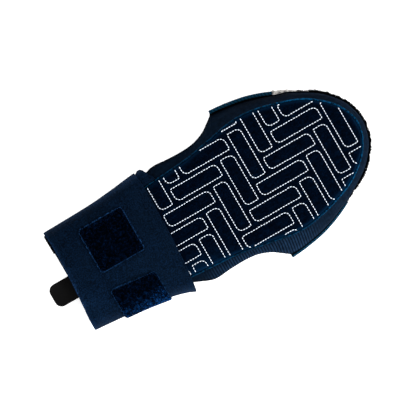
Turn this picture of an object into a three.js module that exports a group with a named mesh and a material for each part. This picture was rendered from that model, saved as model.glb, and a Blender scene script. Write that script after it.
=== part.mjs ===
// A sliding mitt lying on its back with the palm up: a padded back plate and a stitched palm
// plate joined by a knit side wall, open at both sides for the thumb and closed at the wrist
// by a wrap-around strap.
// Millimetres. x runs from the wrist edge of the strap to the fingertips, y across the hand
// and z up. The group moves all of it so that the origin is under the middle of the mitt.
import * as THREE from 'three';

// Overall sizes.
const HAND_LENGTH = 303.2; // wrist edge of the strap to the fingertips
const HAND_HALF_WIDTH = 76.1; // at the thumb corners
const CORNER_X = 185.5; // thumb corners
const GAP = 0.3; // between pieces that touch

// Cloth and padding.
const KNIT = 1.8; // thickness of the side wall
const STRAP_WALL = 2.4;
const LAYER_STEP = STRAP_WALL + 0.5; // from one turn of the strap to the next
const PIPING_RADIUS = 0.8;
const PALM_ROUNDING = 3;
const BACK_ROUNDING = 3.5;
const TIP_HALF = 2; // half width of the last section of a plate, at the fingertips

// Palm plate: its outline and the height of its top along the middle.
const palmRows = [
  { x: 3, half: 34, top: 32.2, thick: 6, crown: 0.6 },
  { x: 40, half: 38, top: 34.1, thick: 6, crown: 0.6 },
  { x: 75, half: 43, top: 35.9, thick: 6, crown: 0.8 },
  { x: 100, half: 46, top: 37.3, thick: 6.4, crown: 1.2 },
  { x: 143, half: 49, top: 43, thick: 8, crown: 2.4 },
  { x: 170, half: 53.6, top: 46, thick: 8, crown: 3 },
  { x: 199, half: 58.5, top: 47, thick: 8, crown: 3 },
  { x: 222, half: 57.2, top: 46.4, thick: 8, crown: 3 },
  { x: 252, half: 49, top: 43.6, thick: 8, crown: 2.6 },
  { x: 272, half: 39, top: 40, thick: 7.6, crown: 2 },
  { x: 290, half: 21.6, top: 36, thick: 7.2, crown: 1 },
  { x: 297.3, half: 0, top: 34, thick: 7, crown: 0 },
];

// Back plate: its outline as far as the thumb corners, and its two faces.
const backRows = [
  { x: 4, half: 35, under: 5.8, top: 11 },
  { x: 50, half: 40, under: 5.8, top: 11 },
  { x: 102, half: 47, under: 5.8, top: 11 },
  { x: 116, half: 49.5, under: 2, top: 10 },
  { x: 128, half: 51, under: 0, top: 9 },
  { x: 150, half: 53, under: 0, top: 9 },
  { x: 164, half: 56, under: 0, top: 9 },
  { x: 174, half: 61, under: 0, top: 9 },
  { x: 181, half: 67, under: 0, top: 9 },
];

// Free edge of the side wall along the thumb opening, from under the strap to the corner.
const hemRows = [
  { x: 92, half: 47.5, z: 15 },
  { x: 104, half: 53, z: 20 },
  { x: 116, half: 57, z: 24.5 },
  { x: 132, half: 55.9, z: 27 },
  { x: 148, half: 55.6, z: 27.4 },
  { x: 160, half: 57, z: 25.5 },
  { x: 171, half: 60.8, z: 21 },
  { x: 179, half: 66.3, z: 15.5 },
  { x: CORNER_X, half: 71.3, z: 9.9 },
];

// Outer line of the mitt from a thumb corner round the fingertips, at the bound seam.
const rimRows = [
  { x: CORNER_X, half: HAND_HALF_WIDTH },
  { x: 203, half: 74.2 },
  { x: 224, half: 70 },
  { x: 246, half: 61.8 },
  { x: 267, half: 50 },
  { x: 282, half: 40.3 },
  { x: 293, half: 29 },
  { x: 300, half: 17.6 },
  { x: HAND_LENGTH, half: 0 },
];

// Trim on the bound seam: a woven tape on each wing and a rough edge round the fingertips.
const tape = { width: 3.6, height: 3.4, base: 5.3, chamfer: 0.9, spacing: 8 };
const roughEdge = { width: 2.2, height: 7.6, base: 1.2, chamfer: 0.7, spacing: 5 };
const NARROWING_START = 246; // the trim narrows from the tape's width to the edge's from here
const NARROWING_END = 256;
const LEFT_TAPE_END = 244; // left is the +y side
const RIGHT_TAPE_END = 254;
const PALE_END = 270; // the pale stretch of the rough edge runs from the left tape to here

// Strap lying flat: how far it reaches to each side, and its height.
const strapRows = [
  { x: -2, left: 55.8, right: 42.5, height: 35 },
  { x: 25, left: 56.3, right: 45.5, height: 36.5 },
  { x: 50, left: 56.9, right: 48.6, height: 37.8 },
  { x: 75, left: 59, right: 52, height: 39 },
  { x: 88, left: 60.4, right: 55.4, height: 39.6 },
  { x: 98, left: 61.4, right: 60, height: 40 },
  { x: 114, left: 62.4, right: 61, height: 41 },
];
const FOLD_WIDTH = 12;
const STRAP_CROWN = 0.8;

// The strap's way round the wrist. One turn is once round: 0 is the middle of the palm side,
// 0.25 the right fold, 0.5 the middle of the back and 0.75 the left fold.
const wrapRows = [
  { turn: 0.878, near: 1, far: 113, inset: LAYER_STEP },
  { turn: 0.75, near: 0.4, far: 104.5, inset: LAYER_STEP },
  { turn: 0.5, near: 0.6, far: 97, inset: LAYER_STEP },
  { turn: 0.4375, near: 0, far: 95.5, inset: 0 },
  { turn: 0.25, near: -1.5, far: 94.3, inset: 0 },
  { turn: 0.135, near: -1.5, far: 97, inset: 0 },
  { turn: 0.08, near: -0.9, far: 98.7, inset: 0 },
  { turn: 0, near: 0.8, far: 100.5, inset: 0 },
  { turn: -0.12, near: 2, far: 101, inset: 0 },
  { turn: -0.25, near: 1.6, far: 98.3, inset: 0 },
  { turn: -0.47, near: 1.6, far: 98.3, inset: 0 },
];

// Past the outer turn's edge, the inner turn's corner at the left fold springs out to its size.
const FLARE_START = 98.5;
const FLARE_END = 103;
const FLARE_TURN = 0.8; // from here up to the root the inner turn stays under
const FLARE_TURN_END = 0.86;

// Loop patches on the strap, measured round it from the middle of the palm side.
const PATCH_THICKNESS = 1.8;
const PATCH_CORNER = 4.5;
const topPatch = { xFrom: 30.6, xTo: 73.8, nearStart: -1.4, farStart: -1.4, length: 43.3, side: 'left' };
const sidePatch = { xFrom: 28.8, xTo: 72.9, nearStart: 19, farStart: 23.5, length: 43.3, side: 'right' };

// Pull tab at the wrist.
const TAB_WIDTH = 21.8;
const TAB_REACH = 20.2; // beyond the strap
const TAB_ROOT = 14; // under the palm plate
const TAB_THICKNESS = 2;
const TAB_CORNER = 6;
const TAB_Y = 0.4;

// Steps round the edge of the hand.
const WRIST_STEPS = 5;
const HEM_STEPS = 10;
const RIM_STEPS = 19;

const material = {
  palmSuede: new THREE.MeshStandardMaterial({ color: 0x04101f, roughness: 0.9, metalness: 0 }),
  pipingCord: new THREE.MeshStandardMaterial({ color: 0x063a5e, roughness: 0.6, metalness: 0 }),
  sideKnit: new THREE.MeshStandardMaterial({ color: 0x16263a, roughness: 0.85, metalness: 0 }),
  backFabric: new THREE.MeshStandardMaterial({ color: 0x0b1a2c, roughness: 0.85, metalness: 0 }),
  wovenTape: new THREE.MeshStandardMaterial({ color: 0x153f5c, roughness: 0.7, metalness: 0 }),
  roughBlack: new THREE.MeshStandardMaterial({ color: 0x08090b, roughness: 0.95, metalness: 0 }),
  roughPale: new THREE.MeshStandardMaterial({ color: 0xd9d6d2, roughness: 0.95, metalness: 0 }),
  strapFabric: new THREE.MeshStandardMaterial({ color: 0x0a1f38, roughness: 0.8, metalness: 0 }),
  loopPile: new THREE.MeshStandardMaterial({ color: 0x030b1c, roughness: 0.95, metalness: 0 }),
  tabRubber: new THREE.MeshStandardMaterial({ color: 0x141415, roughness: 0.5, metalness: 0 }),
};

// Slope where two straight stretches meet, flat where they rise and fall.
function meetingSlope(first, second) {
  return first * second > 0 ? (2 * first * second) / (first + second) : 0;
}

// One column of a table at a place, on a smooth curve that never swings past the rows.
function columnAt(rows, key, column, place) {
  const sign = rows[0][key] < rows[rows.length - 1][key] ? 1 : -1;
  const last = rows.length - 2;
  let i = 0;
  while (i < last && sign * rows[i + 1][key] < sign * place) i += 1;
  const slope = (a, b) => (rows[b][column] - rows[a][column]) / (rows[b][key] - rows[a][key]);
  const span = rows[i + 1][key] - rows[i][key];
  const t = THREE.MathUtils.clamp((place - rows[i][key]) / span, 0, 1);
  const inner = slope(i, i + 1);
  const start = i > 0 ? meetingSlope(slope(i - 1, i), inner) : inner;
  const end = i < last ? meetingSlope(inner, slope(i + 1, i + 2)) : inner;
  const from = rows[i][column];
  const to = rows[i + 1][column];
  const bend = t * (1 - t) * span;
  const ease = t * t * (3 - 2 * t);
  return from + (to - from) * ease + bend * ((1 - t) * start - t * end);
}

const palmAt = (column, x) => columnAt(palmRows, 'x', column, x);
const backAt = (column, x) => columnAt(backRows, 'x', column, x);
const strapAt = (column, x) => columnAt(strapRows, 'x', column, x);
const wrapAt = (column, turn) => columnAt(wrapRows, 'turn', column, turn);

// An outline from a table of x and half width, carried on round the tip to the other side.
function tipCurve(rows) {
  const left = rows.map((row) => new THREE.Vector2(row.x, row.half));
  const right = left.slice(0, -1).reverse().map((point) => new THREE.Vector2(point.x, -point.y));
  const curve = new THREE.SplineCurve([...left, ...right]);
  curve.arcLengthDivisions = 800;
  return curve;
}

// Share of an outline's whole length at which its first half reaches x.
function shareAtX(curve, x) {
  let low = 0;
  let high = 0.5;
  for (let i = 0; i < 40; i += 1) {
    const middle = (low + high) / 2;
    if (curve.getPointAt(middle).x < x) low = middle;
    else high = middle;
  }
  return low;
}

// Even steps from one share of a length to another, both ends included.
function evenShares(from, to, steps) {
  return Array.from({ length: steps + 1 }, (_, i) => from + ((to - from) * i) / steps);
}

// A place on an outline, moved inwards by a distance.
function insetPoint(curve, share, inwards) {
  const point = curve.getPointAt(share);
  const tangent = curve.getTangentAt(share);
  return new THREE.Vector2(point.x + tangent.y * inwards, point.y - tangent.x * inwards);
}

// A closed solid between two grids of points that share their border.
function solidBetween(upper, lower) {
  const rows = upper.length;
  const columns = upper[0].length;
  const corners = [...upper.flat(), ...lower.flat()];
  const index = [];
  const up = (r, c) => r * columns + c;
  const down = (r, c) => rows * columns + r * columns + c;
  const quad = (a, b, c, d) => index.push(a, b, c, a, c, d);
  for (let r = 0; r < rows - 1; r += 1) {
    for (let c = 0; c < columns - 1; c += 1) {
      quad(up(r, c), up(r + 1, c), up(r + 1, c + 1), up(r, c + 1));
      quad(down(r, c), down(r, c + 1), down(r + 1, c + 1), down(r + 1, c));
    }
    quad(up(r, 0), down(r, 0), down(r + 1, 0), up(r + 1, 0));
    quad(up(r + 1, columns - 1), down(r + 1, columns - 1), down(r, columns - 1), up(r, columns - 1));
  }
  for (let c = 0; c < columns - 1; c += 1) {
    quad(up(0, c + 1), down(0, c + 1), down(0, c), up(0, c));
    quad(up(rows - 1, c), down(rows - 1, c), down(rows - 1, c + 1), up(rows - 1, c + 1));
  }
  return outwardSolid(corners, index);
}

// A closed solid swept through rings that all have the same number of points.
function solidThroughRings(rings) {
  const count = rings[0].length;
  const index = [];
  for (let r = 0; r < rings.length - 1; r += 1) {
    for (let i = 0; i < count; i += 1) {
      const next = (i + 1) % count;
      const a = r * count + i;
      const b = r * count + next;
      index.push(a, b, b + count, a, b + count, a + count);
    }
  }
  const lastRing = (rings.length - 1) * count;
  for (let i = 1; i < count - 1; i += 1) {
    index.push(0, i + 1, i, lastRing, lastRing + i, lastRing + i + 1);
  }
  return outwardSolid(rings.flat(), index);
}

// The geometry of a closed set of triangles, turned so that its faces look outwards.
function outwardSolid(corners, index) {
  let volume = 0;
  for (let i = 0; i < index.length; i += 3) {
    const cross = new THREE.Vector3().crossVectors(corners[index[i + 1]], corners[index[i + 2]]);
    volume += corners[index[i]].dot(cross);
  }
  const geometry = new THREE.BufferGeometry().setFromPoints(corners);
  geometry.setIndex(volume > 0 ? index : index.slice().reverse());
  geometry.computeVertexNormals();
  return geometry;
}

// Cloth of even thickness with its middle on a grid of points.
function clothSolid(grid, thickness) {
  const rows = grid.length;
  const columns = grid[0].length;
  const moved = (distance) => grid.map((line, r) => line.map((point, c) => {
    const before = grid[Math.max(r - 1, 0)][c];
    const after = grid[Math.min(r + 1, rows - 1)][c];
    const along = new THREE.Vector3().subVectors(after, before);
    const across = new THREE.Vector3().subVectors(
      line[Math.min(c + 1, columns - 1)],
      line[Math.max(c - 1, 0)],
    );
    const normal = along.cross(across).normalize();
    return point.clone().addScaledVector(normal, distance);
  }));
  return solidBetween(moved(thickness / 2), moved(-thickness / 2));
}

// How far a rounded edge has dropped at a distance inwards from it.
function edgeDrop(distance, radius) {
  const inwards = Math.min(Math.max(distance, 0), radius);
  return radius - Math.sqrt(radius ** 2 - (radius - inwards) ** 2);
}

// Distances from the middle line at which a plate has points, closer near its rounded edge.
function platePlaces(half, radius) {
  const flat = Math.max(half - radius, half * 0.4);
  const right = [half, (3 * half + flat) / 4, flat, flat / 2];
  return [...right.map((y) => -y), 0, ...right.reverse()];
}

// The palm outline, and the shares of its length from the wrist to the middle of the tip.
const palmCurve = tipCurve(palmRows);
const wristShare = shareAtX(palmCurve, hemRows[0].x);
const palmCornerShare = shareAtX(palmCurve, CORNER_X - 7);
const palmShares = [
  ...evenShares(0, wristShare, WRIST_STEPS).slice(0, -1),
  ...evenShares(wristShare, palmCornerShare, HEM_STEPS).slice(0, -1),
  ...evenShares(palmCornerShare, 0.5, RIM_STEPS),
];

// Height of the middle of the palm plate's edge.
function palmEdgeHeight(x) {
  return palmAt('top', x) - palmAt('crown', x) - palmAt('thick', x) / 2;
}

// The bound seam, from one thumb corner round the fingertips to the other.
const rimCurve = tipCurve(rimRows);

function trimWidth(x) {
  const narrowing = THREE.MathUtils.smoothstep(x, NARROWING_START, NARROWING_END);
  return THREE.MathUtils.lerp(tape.width, roughEdge.width, narrowing);
}

// A place beside the trim, a distance further inwards.
function insideTrim(share, inwards) {
  return insetPoint(rimCurve, share, trimWidth(rimCurve.getPointAt(share).x) + inwards);
}

function makePalmPanel() {
  const edgeInset = 2 * PIPING_RADIUS + GAP;
  const tipX = palmRows[palmRows.length - 1].x - edgeInset;
  const stations = palmShares.slice(0, -1).map((share) => {
    const point = insetPoint(palmCurve, share, edgeInset);
    return { x: point.x, half: point.y };
  });
  stations.push({ x: tipX, half: TIP_HALF });
  const face = (side) => stations.map(({ x, half }) => platePlaces(half, PALM_ROUNDING).map((y) => {
    const distance = Math.min(half - Math.abs(y), tipX - x);
    const middle = palmAt('top', x) - palmAt('crown', x) * (y / half) ** 2 - palmAt('thick', x) / 2;
    const reach = palmAt('thick', x) / 2 - edgeDrop(distance, PALM_ROUNDING) * 0.8;
    return new THREE.Vector3(x, y, middle + side * reach);
  }));
  return solidBetween(face(1), face(-1));
}

function makePalmPiping() {
  const profile = Array.from({ length: 6 }, (_, i) => {
    const angle = (i / 6) * 2 * Math.PI;
    return [Math.cos(angle) * PIPING_RADIUS - PIPING_RADIUS, Math.sin(angle) * PIPING_RADIUS];
  });
  const left = palmShares.slice(WRIST_STEPS - 1).map((share) => palmCurve.getPointAt(share));
  const right = left.slice(0, -1).reverse().map((point) => new THREE.Vector2(point.x, -point.y));
  return trimSolid([...left, ...right], () => profile, palmEdgeHeight);
}

// A trim along a line in plan. Its cross section's points are measured outwards from the line
// and upwards.
function trimSolid(line, profileAt, heightAt) {
  const rings = line.map((point, i) => {
    const before = line[Math.max(i - 1, 0)];
    const after = line[Math.min(i + 1, line.length - 1)];
    const outwards = new THREE.Vector2(-(after.y - before.y), after.x - before.x).normalize();
    const z = heightAt(point.x);
    return profileAt(point.x).map(([out, up]) => new THREE.Vector3(
      point.x + outwards.x * out,
      point.y + outwards.y * out,
      z + up,
    ));
  });
  return solidThroughRings(rings);
}

function makeSideWall() {
  const wallRows = 4;
  const topEdge = palmShares.slice(WRIST_STEPS).map((share) => {
    const point = insetPoint(palmCurve, share, 0.6);
    const z = palmEdgeHeight(point.x) - PIPING_RADIUS - GAP - KNIT / 2 - 0.1;
    return new THREE.Vector3(point.x, Math.max(point.y, 0), z);
  });
  const hemCurve = new THREE.CatmullRomCurve3(
    hemRows.map((row) => new THREE.Vector3(row.x, row.half, row.z)),
    false,
    'centripetal',
  );
  const hem = hemCurve.getSpacedPoints(HEM_STEPS);
  const seam = Array.from({ length: RIM_STEPS }, (_, i) => {
    const share = ((i + 1) / RIM_STEPS) * 0.5;
    const point = insideTrim(share, 1.3);
    return new THREE.Vector3(point.x, Math.max(point.y, 0), hemRows[hemRows.length - 1].z);
  });
  const bottomEdge = [...hem, ...seam];
  const left = topEdge.map((top, i) => {
    const drop = new THREE.Vector3().subVectors(bottomEdge[i], top);
    const level = new THREE.Vector2(drop.x, drop.y);
    const steep = level.length() / drop.length();
    const bulge = 0.09 * drop.length();
    const outwards = level.normalize().multiplyScalar(-drop.z / drop.length());
    return Array.from({ length: wallRows }, (_, k) => {
      const share = k / (wallRows - 1);
      const swell = bulge * Math.sin(Math.PI * share);
      return top.clone().addScaledVector(drop, share).add(
        new THREE.Vector3(outwards.x * swell, outwards.y * swell, steep * swell),
      );
    });
  });
  const mirrored = left.slice(0, -1).reverse().map((rib) => rib.map((point) => (
    new THREE.Vector3(point.x, -point.y, point.z)
  )));
  return clothSolid([...left, ...mirrored], KNIT);
}

function makeBackPlate() {
  const wristToCorner = backRows.flatMap((row, i) => {
    const next = backRows[i + 1];
    return next ? [row.x, (row.x + next.x) / 2] : [row.x];
  });
  const waist = wristToCorner.map((x) => ({ x, half: backAt('half', x) }));
  const wing = Array.from({ length: RIM_STEPS }, (_, i) => {
    const share = (i / RIM_STEPS) * 0.5;
    const point = insideTrim(share, GAP);
    return { x: point.x, half: point.y };
  });
  const tipX = HAND_LENGTH - roughEdge.width - GAP;
  const stations = [...waist, ...wing, { x: tipX, half: TIP_HALF }];
  const face = (side) => stations.map(({ x, half }) => platePlaces(half, BACK_ROUNDING).map((y) => {
    const distance = Math.min(half - Math.abs(y), tipX - x);
    const round = edgeDrop(distance, BACK_ROUNDING) * 0.55;
    const z = side > 0 ? backAt('top', x) - round : backAt('under', x) + round;
    return new THREE.Vector3(x, y, z);
  }));
  return solidBetween(face(1), face(-1));
}

// A flat cross section with chamfered corners that lies inwards of the seam line.
function chamferedSection(width, height, chamfer) {
  return [
    [-chamfer, 0],
    [0, chamfer],
    [0, height - chamfer],
    [-chamfer, height],
    [-width + chamfer, height],
    [-width, height - chamfer],
    [-width, chamfer],
    [-width + chamfer, 0],
  ];
}

// A trim along the bound seam between two shares of its length.
function makeRimTrim(trim, fromShare, toShare) {
  const length = (toShare - fromShare) * rimCurve.getLength();
  const steps = Math.max(4, Math.round(length / trim.spacing));
  const line = evenShares(fromShare, toShare, steps).map((share) => rimCurve.getPointAt(share));
  const profileAt = (x) => chamferedSection(trimWidth(x), trim.height, trim.chamfer);
  return trimSolid(line, profileAt, () => trim.base);
}

// A point of the flattened strap's outer skin, or a distance inside it.
function strapPoint(x, turn, inset) {
  const quarter = Math.floor(4 * (turn + 1)) % 4;
  const share = 4 * (turn + 1) - Math.floor(4 * (turn + 1));
  const away = quarter % 2 === 0 ? share : 1 - share;
  const left = quarter >= 2;
  const palmSide = quarter === 0 || quarter === 3;
  const half = strapAt(left ? 'left' : 'right', x);
  const height = strapAt('height', x);
  const level = Math.min(2 * away, 1);
  const fold = Math.max(2 * away - 1, 0) * (Math.PI / 2);
  const crown = palmSide ? STRAP_CROWN * level ** 2 : 0;
  const y = (half - FOLD_WIDTH) * level + (FOLD_WIDTH - inset) * Math.sin(fold);
  const rise = (height / 2 - inset - crown) * Math.cos(fold);
  return new THREE.Vector3(x, left ? y : -y, height / 2 + (palmSide ? rise : -rise));
}

// Turn at a distance round the strap from the middle of the palm side, towards one side.
function turnAtGirth(x, girth, side) {
  const flat = strapAt(side, x) - FOLD_WIDTH;
  const foldLength = (Math.PI / 2) * Math.sqrt((FOLD_WIDTH ** 2 + (strapAt('height', x) / 2) ** 2) / 2);
  const eighths = Math.abs(girth) < flat ? girth / flat : 1 + (girth - flat) / foldLength;
  return (side === 'right' ? 1 : -1) * 0.125 * eighths;
}

// Places along one quarter of the strap's way round, close together at the fold.
function quarterTurns(start) {
  const away = [0, 0.25, ...Array.from({ length: 6 }, (_, i) => 0.5 + i / 12)];
  const startsAtMiddle = Math.round(start * 4) % 2 === 0;
  const shares = startsAtMiddle ? away : [0, ...away.slice(1).reverse().map((share) => 1 - share)];
  return shares.map((share) => start - share / 4);
}

function makeStrap() {
  const lengthSteps = 6;
  const firstTurn = wrapRows[0].turn;
  const lastTurn = wrapRows[wrapRows.length - 1].turn;
  const turns = [1, 0.75, 0.5, 0.25, 0, -0.25].flatMap(quarterTurns);
  const passed = turns.filter((turn) => turn < firstTurn && turn > lastTurn);
  const line = (turn, turnAtX) => {
    const near = wrapAt('near', turn);
    const far = wrapAt('far', turn);
    const atFold = 1 - THREE.MathUtils.smoothstep(turn, FLARE_TURN, FLARE_TURN_END);
    return Array.from({ length: lengthSteps + 1 }, (_, i) => {
      const x = near + ((far - near) * i) / lengthSteps;
      const flare = atFold * THREE.MathUtils.smoothstep(x, FLARE_START, FLARE_END);
      const inset = wrapAt('inset', turn) * (1 - flare) + STRAP_WALL / 2;
      return strapPoint(x, turnAtX(x), inset);
    });
  };
  const root = line(firstTurn, (x) => 1 + turnAtGirth(x, palmAt('half', x) + 0.5, 'left'));
  const rest = [...passed, lastTurn].map((turn) => line(turn, () => turn));
  return clothSolid([root, ...rest], STRAP_WALL);
}

function makeLoopPatch(patch) {
  const acrossSteps = 5;
  const middleSteps = 9;
  const lift = GAP + 0.05 + PATCH_THICKNESS / 2;
  const corner = [0, 0.1, 0.4].map((share) => share * PATCH_CORNER);
  const middle = Array.from({ length: middleSteps + 1 }, (_, i) => (
    PATCH_CORNER + ((patch.length - 2 * PATCH_CORNER) * i) / middleSteps
  ));
  const distances = [...corner, ...middle, ...corner.map((d) => patch.length - d).reverse()];
  const grid = distances.map((distance) => {
    const shrink = edgeDrop(Math.min(distance, patch.length - distance), PATCH_CORNER);
    return Array.from({ length: acrossSteps + 1 }, (_, i) => {
      const share = i / acrossSteps;
      const x = THREE.MathUtils.lerp(patch.xFrom + shrink, patch.xTo - shrink, share);
      const girth = THREE.MathUtils.lerp(patch.nearStart, patch.farStart, share) + distance;
      return strapPoint(x, turnAtGirth(x, girth, patch.side), -lift);
    });
  });
  return clothSolid(grid, PATCH_THICKNESS);
}

function makePullTab() {
  const bevel = 0.5;
  const half = TAB_WIDTH / 2 - bevel;
  const end = -TAB_REACH + bevel + TAB_CORNER;
  const shape = new THREE.Shape();
  shape.moveTo(TAB_ROOT, -half);
  shape.lineTo(TAB_ROOT, half);
  shape.absarc(end, half - TAB_CORNER, TAB_CORNER, Math.PI / 2, Math.PI, false);
  shape.absarc(end, TAB_CORNER - half, TAB_CORNER, Math.PI, 1.5 * Math.PI, false);
  return new THREE.ExtrudeGeometry(shape, {
    depth: TAB_THICKNESS - 2 * bevel,
    bevelThickness: bevel,
    bevelSize: bevel,
    bevelSegments: 1,
    curveSegments: 6,
  });
}

function named(name, geometry, finish) {
  const mesh = new THREE.Mesh(geometry, finish);
  mesh.name = name;
  return mesh;
}

const leftTapeShare = shareAtX(rimCurve, LEFT_TAPE_END);
const rightTapeShare = 1 - shareAtX(rimCurve, RIGHT_TAPE_END);
const paleShare = shareAtX(rimCurve, PALE_END);
const endGap = 0.5 / rimCurve.getLength();

const pullTab = named('pull_tab', makePullTab(), material.tabRubber);
const wristPalm = palmRows[0];
const tabTop = wristPalm.top - wristPalm.thick - wristPalm.crown - GAP;
pullTab.position.set(0, TAB_Y, tabTop - TAB_THICKNESS + 0.5);

const mitt = new THREE.Group();
mitt.add(
  named('palm_panel', makePalmPanel(), material.palmSuede),
  named('palm_piping', makePalmPiping(), material.pipingCord),
  named('side_wall', makeSideWall(), material.sideKnit),
  named('back_plate', makeBackPlate(), material.backFabric),
  named('wing_tape_left', makeRimTrim(tape, 0, leftTapeShare), material.wovenTape),
  named('wing_tape_right', makeRimTrim(tape, rightTapeShare, 1), material.wovenTape),
  named('tip_edge_pale', makeRimTrim(roughEdge, leftTapeShare + endGap, paleShare), material.roughPale),
  named(
    'tip_edge',
    makeRimTrim(roughEdge, paleShare + endGap, rightTapeShare - endGap),
    material.roughBlack,
  ),
  named('wrist_strap', makeStrap(), material.strapFabric),
  named('loop_patch_top', makeLoopPatch(topPatch), material.loopPile),
  named('loop_patch_side', makeLoopPatch(sidePatch), material.loopPile),
  pullTab,
);
mitt.position.x = (TAB_REACH - HAND_LENGTH) / 2;

export default mitt;
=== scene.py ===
# A padded sliding mitt that lies on its back with the palm up, seen from straight above.
import math

import bpy
import numpy as np
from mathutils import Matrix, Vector
from mathutils.bvhtree import BVHTree


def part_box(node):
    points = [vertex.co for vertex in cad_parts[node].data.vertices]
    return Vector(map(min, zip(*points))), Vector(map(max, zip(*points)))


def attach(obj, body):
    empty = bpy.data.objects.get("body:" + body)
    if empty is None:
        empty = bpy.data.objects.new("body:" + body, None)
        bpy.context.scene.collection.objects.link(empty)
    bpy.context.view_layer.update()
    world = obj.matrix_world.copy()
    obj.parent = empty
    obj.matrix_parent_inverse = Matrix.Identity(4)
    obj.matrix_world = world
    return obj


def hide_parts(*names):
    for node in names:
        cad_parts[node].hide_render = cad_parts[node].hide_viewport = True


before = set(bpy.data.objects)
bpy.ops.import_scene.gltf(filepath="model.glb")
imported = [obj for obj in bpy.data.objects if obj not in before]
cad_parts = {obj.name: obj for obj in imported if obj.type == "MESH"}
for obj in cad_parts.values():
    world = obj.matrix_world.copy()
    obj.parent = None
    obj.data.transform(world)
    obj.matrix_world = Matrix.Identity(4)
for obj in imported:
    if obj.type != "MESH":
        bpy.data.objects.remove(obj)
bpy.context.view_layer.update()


def rows_of(columns, *lines):
    """Rows of a table, each with its values under the names of their columns."""
    return [dict(zip(columns.split(), line)) for line in lines]


# Sizes are in millimetres, in the mitt's own frame: x from the wrist edge of the strap to the
# fingertips, y to the left across the hand, z up. The frame's origin is under the middle.
TAB_REACH = 20.2
HAND_LENGTH = 303.2
CORNER_X = 185.5
GAP = 0.3
MIDDLE_X = -TAB_REACH - 1000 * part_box("pull_tab")[0].x  # where the frame's origin lies
RNG = np.random.default_rng(12)

PALM_ROWS = rows_of(
    "x half top thick crown",
    (3, 34, 32.2, 6, 0.6),
    (40, 38, 34.1, 6, 0.6),
    (75, 43, 35.9, 6, 0.8),
    (100, 46, 37.3, 6.4, 1.2),
    (143, 49, 43, 8, 2.4),
    (170, 53.6, 46, 8, 3),
    (199, 58.5, 47, 8, 3),
    (222, 57.2, 46.4, 8, 3),
    (252, 49, 43.6, 8, 2.6),
    (272, 39, 40, 7.6, 2),
    (290, 21.6, 36, 7.2, 1),
    (297.3, 0, 34, 7, 0),
)
BACK_ROWS = rows_of(
    "x half under top",
    (4, 35, 5.8, 11),
    (50, 40, 5.8, 11),
    (102, 47, 5.8, 11),
    (116, 49.5, 2, 10),
    (128, 51, 0, 9),
    (150, 53, 0, 9),
    (164, 56, 0, 9),
    (174, 61, 0, 9),
    (181, 67, 0, 9),
)
HEM_ROWS = rows_of(
    "x half z",
    (92, 47.5, 15),
    (104, 53, 20),
    (116, 57.1, 24.5),
    (132, 56.1, 27),
    (148, 55.8, 27.4),
    (160, 57.2, 25.5),
    (171, 61.4, 21),
    (179, 66.9, 15.5),
    (CORNER_X, 71.8, 9.9),
)
RIM_ROWS = rows_of(
    "x half",
    (CORNER_X, 76.6),
    (203, 74.8),
    (224, 70.6),
    (246, 62.2),
    (267, 50.4),
    (282, 40.8),
    (293, 29.4),
    (300, 17.8),
    (HAND_LENGTH, 0),
)
LEFT_TAPE = dict(width=3.3, height=5.2, base=5.3, corner=0.9, spacing=0.35)
RIGHT_TAPE = dict(width=3.9, height=3.4, base=5.3, corner=0.9, spacing=0.35)
ROUGH_EDGE = dict(width=1.6, height=7.6, base=1.2, corner=0.7, spacing=0.7)
NARROWING = (246, 256)  # where the trim narrows from the tapes to the rough edge
LEFT_TAPE_END = 244
RIGHT_TAPE_END = 254
PALE_END = 273
PIPING_RADIUS = 0.8
KNIT = 1.8  # thickness of the side wall
LEAN = 0.2  # the back lies this far to the left of the palm

STRAP_WALL = 2.4
LAYER_STEP = STRAP_WALL + 0.5
FOLD_WIDTH = 12
STRAP_CROWN = 0.8
STRAP_GIRTH = 330
STRAP_MIDDLE = (60, 0, 19)
STRAP_ROWS = rows_of(
    "x left right height",
    (-2, 55.5, 43.8, 35),
    (25, 56.1, 46, 36.5),
    (50, 56.7, 48.6, 37.8),
    (75, 58.8, 52.6, 39),
    (88, 60.4, 56.2, 39.6),
    (98, 61.4, 60, 40),
    (114, 62.4, 61, 41),
)
WRAP_ROWS = rows_of(
    "turn near far inset",
    (0.878, 1, 113, LAYER_STEP),
    (0.75, 0.4, 104.5, LAYER_STEP),
    (0.5, 1.1, 97, LAYER_STEP),
    (0.4375, 0.3, 96, 0),
    (0.25, -1.2, 95.4, 0),
    (0.135, -0.9, 97, 0),
    (0.08, 0.3, 98.9, 0),
    (0, 1.8, 100.5, 0),
    (-0.1, 3.2, 101, 0),
    (-0.25, 1.6, 99.3, 0),
    (-0.47, 1.6, 98.3, 0),
)
FLARE = (98.5, 103)
FLARE_TURNS = (0.8, 0.86)
PATCH_THICKNESS = 1.2
PATCH_CORNER = 3.8
TOP_PATCH = dict(x=(29.4, 74.9), start=(-3.5, -3.5), length=45.5, side="left", glow=-0.44, line=0.9)
SIDE_PATCH = dict(x=(27.9, 72.9), start=(19, 23.5), length=43.3, side="right", glow=-0.12, line=0.5)

# The photo's frame: how much of the object it spans, and where its middle is.
PHOTO_SIDE = 374.4
PHOTO_CENTRE = (MIDDLE_X, 0.9, 22)
PHOTO_ROLL = -30
LENS = 400
SENSOR_WIDTH = 36
FLOOR_GLOW = 0.4  # the photo's floor is a lit table that leaves next to no shadow


# Tables, lines and grids

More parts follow.
